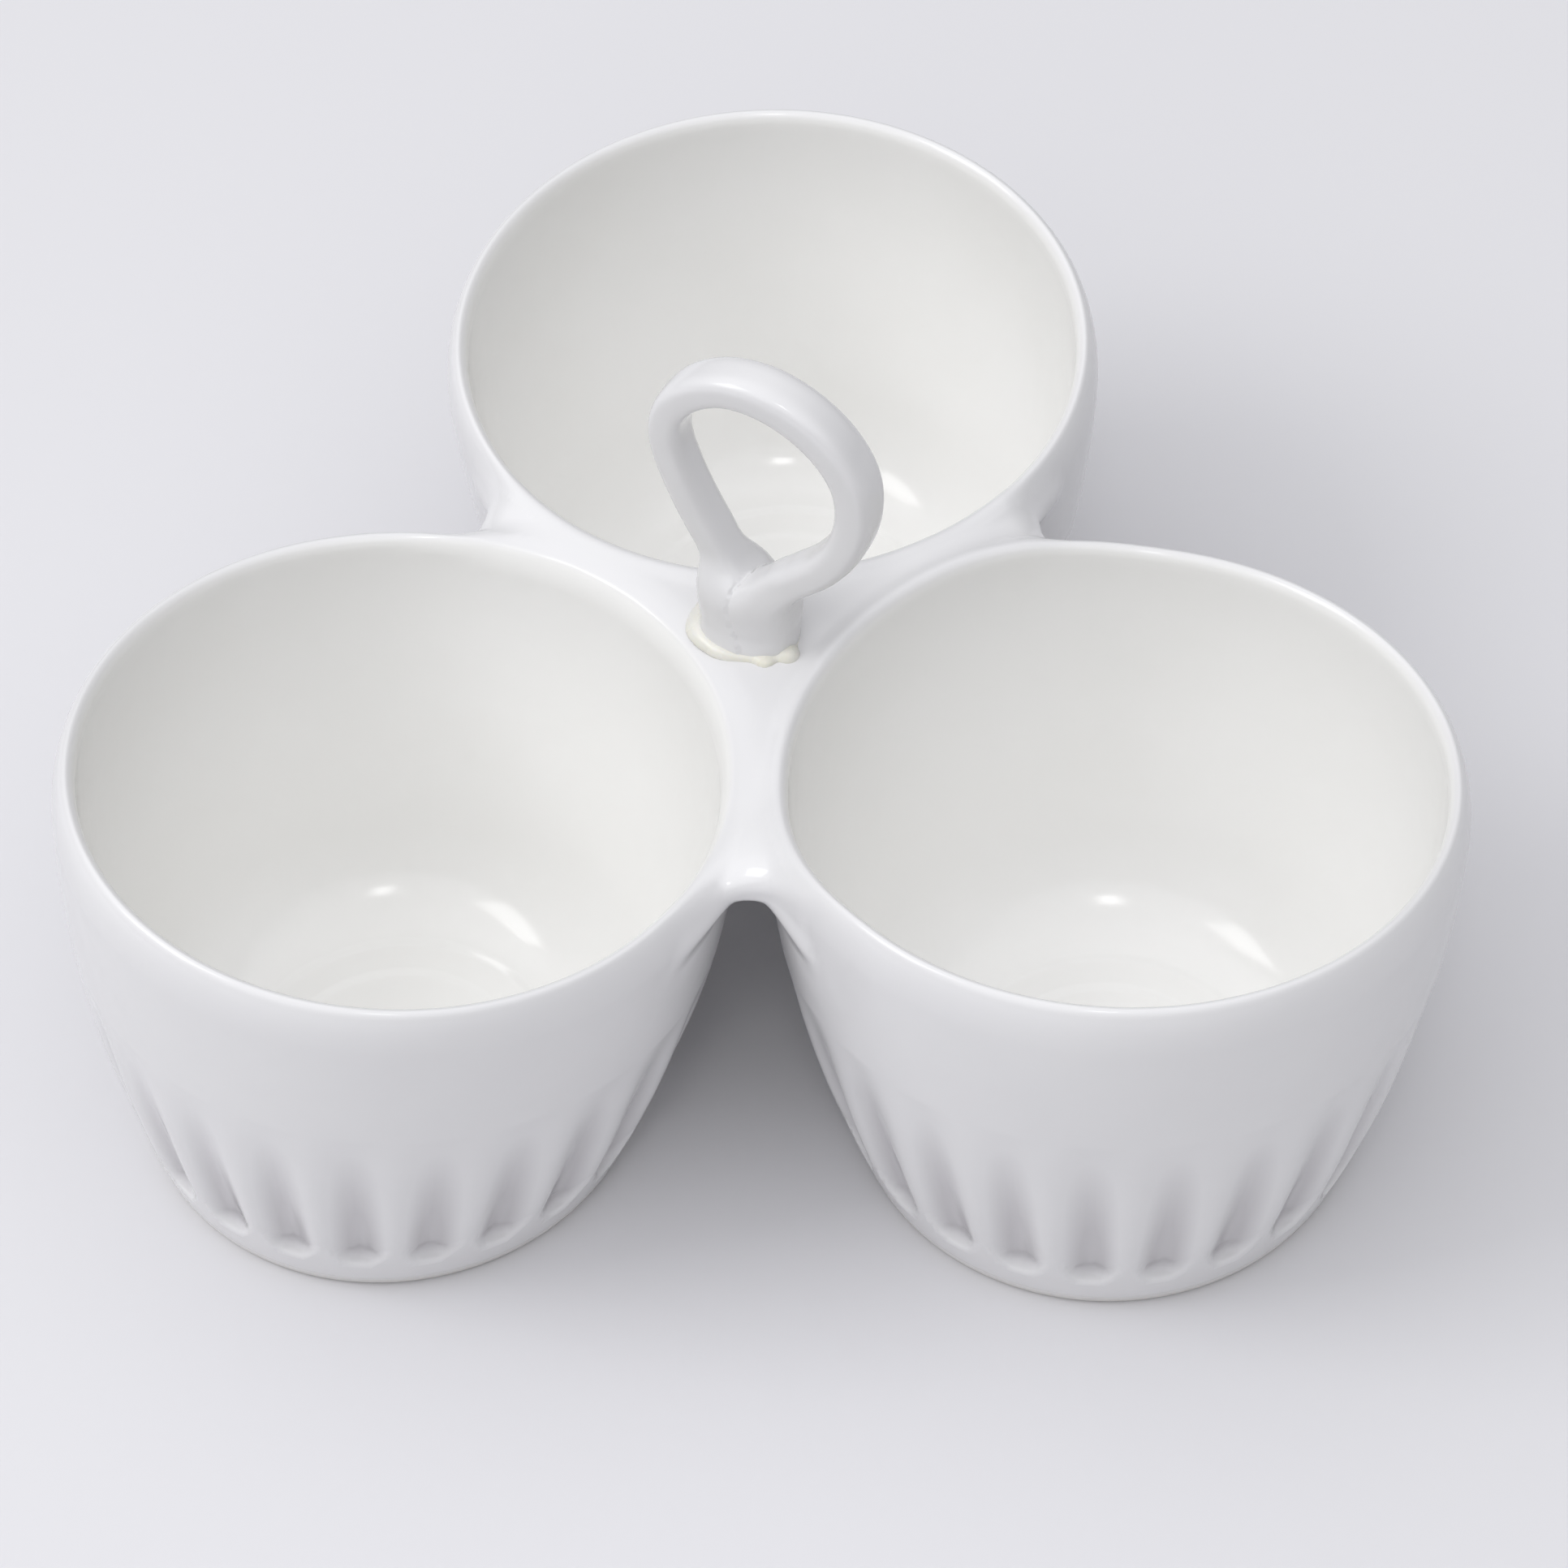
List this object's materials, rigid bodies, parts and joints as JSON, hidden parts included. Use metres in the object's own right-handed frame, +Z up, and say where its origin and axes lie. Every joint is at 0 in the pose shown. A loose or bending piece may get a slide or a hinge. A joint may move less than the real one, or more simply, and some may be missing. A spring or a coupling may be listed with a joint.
{
  "type": "chip and dip server",
  "caption": "Glazed ceramic server: fluted round cups joined at their lips by a web, with an upright finger loop in the middle.",
  "frame": {"origin": "centre of the model's box on the plane that the feet stand on", "axes": "+X to the right across the two front cups, +Y towards the back cup, +Z up"},
  "size_m": [0.2214, 0.2064, 0.134],
  "materials": {
    "glaze": "gloss",
    "bead": "gloss"
  },
  "bodies": {
    "root": {"cup_back": "glaze", "cup_left": "glaze", "cup_right": "glaze", "centre_web": "glaze", "handle_loop": "glaze", "handle_bead": "bead"}
  },
  "joints": []
}
